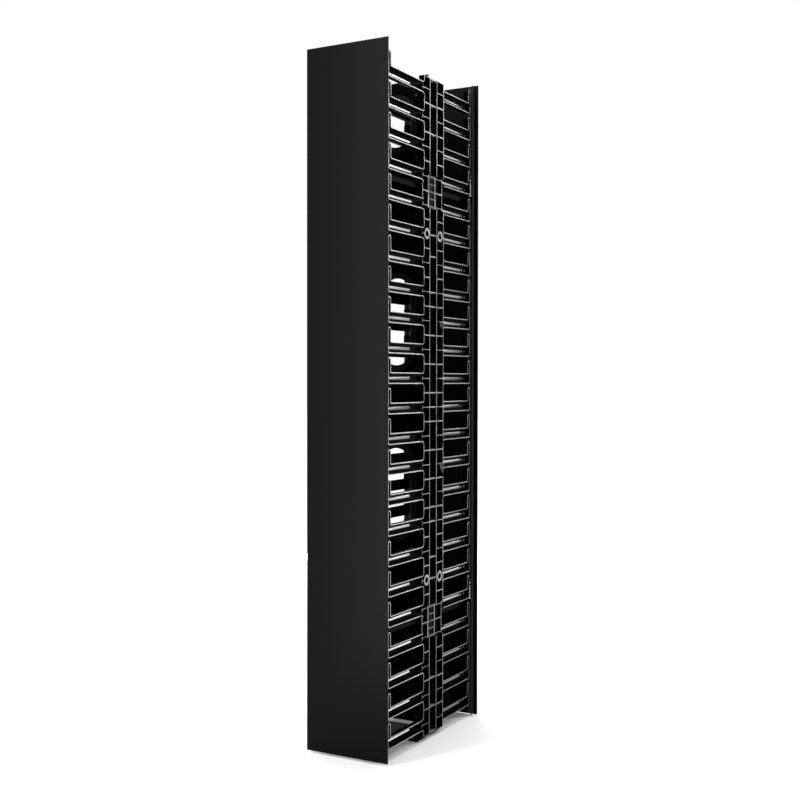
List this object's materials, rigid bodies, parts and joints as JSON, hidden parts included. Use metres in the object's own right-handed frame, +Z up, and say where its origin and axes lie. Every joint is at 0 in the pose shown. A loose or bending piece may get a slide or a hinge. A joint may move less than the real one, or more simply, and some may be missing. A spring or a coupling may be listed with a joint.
{
  "type": "vertical cable manager",
  "caption": "Tall double-sided vertical cable manager with hooked finger walls, a middle panel with pass-through holes and hinged front and rear covers.",
  "frame": {"origin": "on the floor, in the middle of the plan outline", "axes": "+X to the right-hand side, -Y to the front cover, +Z up"},
  "size_m": [0.278, 0.603, 2.095],
  "materials": {
    "post_steel": "black powder coat",
    "panel_steel": "black powder coat",
    "finger_plastic": "moulded satin black",
    "edging_plastic": "extruded matt black",
    "bracket_steel": "black powder coat",
    "arm_steel": "black powder coat",
    "cover_steel": "charcoal fine-texture powder coat",
    "frame_steel": "black powder coat",
    "zinc_hardware": "zinc plated",
    "magnet_case": "satin",
    "spring_steel": "bare spring steel",
    "knob_plastic": "turned matt black"
  },
  "bodies": {
    "spine": {"left_post": "post_steel", "right_post": "post_steel", "mid_panel": "panel_steel", "hole_edgings": "edging_plastic", "panel_bolts": "zinc_hardware", "base_bracket": "bracket_steel", "top_bracket": "bracket_steel", "left_rack_brackets": "bracket_steel", "right_rack_brackets": "bracket_steel", "left_channel_clips": "bracket_steel", "right_channel_clips": "bracket_steel", "anchor_bolts": "zinc_hardware", "front_door_arms": "arm_steel", "rear_door_arms": "arm_steel", "arm_bolts": "zinc_hardware", "front_catches": "magnet_case", "rear_catches": "magnet_case", "right_front_fingers_upper": "finger_plastic", "right_front_fingers_middle": "finger_plastic", "right_front_fingers_lower": "finger_plastic", "right_rear_fingers_upper": "finger_plastic", "right_rear_fingers_middle": "finger_plastic", "right_rear_fingers_lower": "finger_plastic", "left_front_fingers_upper": "finger_plastic", "left_front_fingers_middle": "finger_plastic", "left_front_fingers_lower": "finger_plastic", "left_rear_fingers_upper": "finger_plastic", "left_rear_fingers_middle": "finger_plastic", "left_rear_fingers_lower": "finger_plastic"},
    "front_door": {"front_cover": "cover_steel", "front_cover_rails": "frame_steel", "front_hinge_lugs": "arm_steel", "front_strikes": "zinc_hardware", "front_upper_spring": "spring_steel", "front_lower_spring": "spring_steel"},
    "rear_door": {"rear_cover": "cover_steel", "rear_cover_rails": "frame_steel", "rear_hinge_lugs": "arm_steel", "rear_strikes": "zinc_hardware", "rear_upper_spring": "spring_steel", "rear_lower_spring": "spring_steel"},
    "front_upper_pin_body": {"front_upper_pin": "zinc_hardware", "front_upper_knob": "knob_plastic"},
    "front_lower_pin_body": {"front_lower_pin": "zinc_hardware", "front_lower_knob": "knob_plastic"},
    "rear_upper_pin_body": {"rear_upper_pin": "zinc_hardware", "rear_upper_knob": "knob_plastic"},
    "rear_lower_pin_body": {"rear_lower_pin": "zinc_hardware", "rear_lower_knob": "knob_plastic"}
  },
  "joints": [
    {"name": "front_door_hinge", "type": "hinge", "parent": "spine", "child": "front_door", "pos_m": [-0.116, -0.284, 0], "axis": [0, 0, -1], "range_deg": [0, 110]},
    {"name": "rear_door_hinge", "type": "hinge", "parent": "spine", "child": "rear_door", "pos_m": [0.116, 0.289, 0], "axis": [0, 0, -1], "range_deg": [0, 100]},
    {"name": "front_upper_pin_slide", "type": "slide", "parent": "front_door", "child": "front_upper_pin_body", "axis": [0, 0, 1], "range_m": [0, 0.0215], "stiffness_N_per_m": 300, "springref_m": -0.01, "deforming": ["front_upper_spring"]},
    {"name": "front_lower_pin_slide", "type": "slide", "parent": "front_door", "child": "front_lower_pin_body", "axis": [0, 0, 1], "range_m": [0, 0.0215], "stiffness_N_per_m": 300, "springref_m": -0.01, "deforming": ["front_lower_spring"]},
    {"name": "rear_upper_pin_slide", "type": "slide", "parent": "rear_door", "child": "rear_upper_pin_body", "axis": [0, 0, 1], "range_m": [0, 0.0215], "stiffness_N_per_m": 300, "springref_m": -0.01, "deforming": ["rear_upper_spring"]},
    {"name": "rear_lower_pin_slide", "type": "slide", "parent": "rear_door", "child": "rear_lower_pin_body", "axis": [0, 0, 1], "range_m": [0, 0.0215], "stiffness_N_per_m": 300, "springref_m": -0.01, "deforming": ["rear_lower_spring"]}
  ]
}
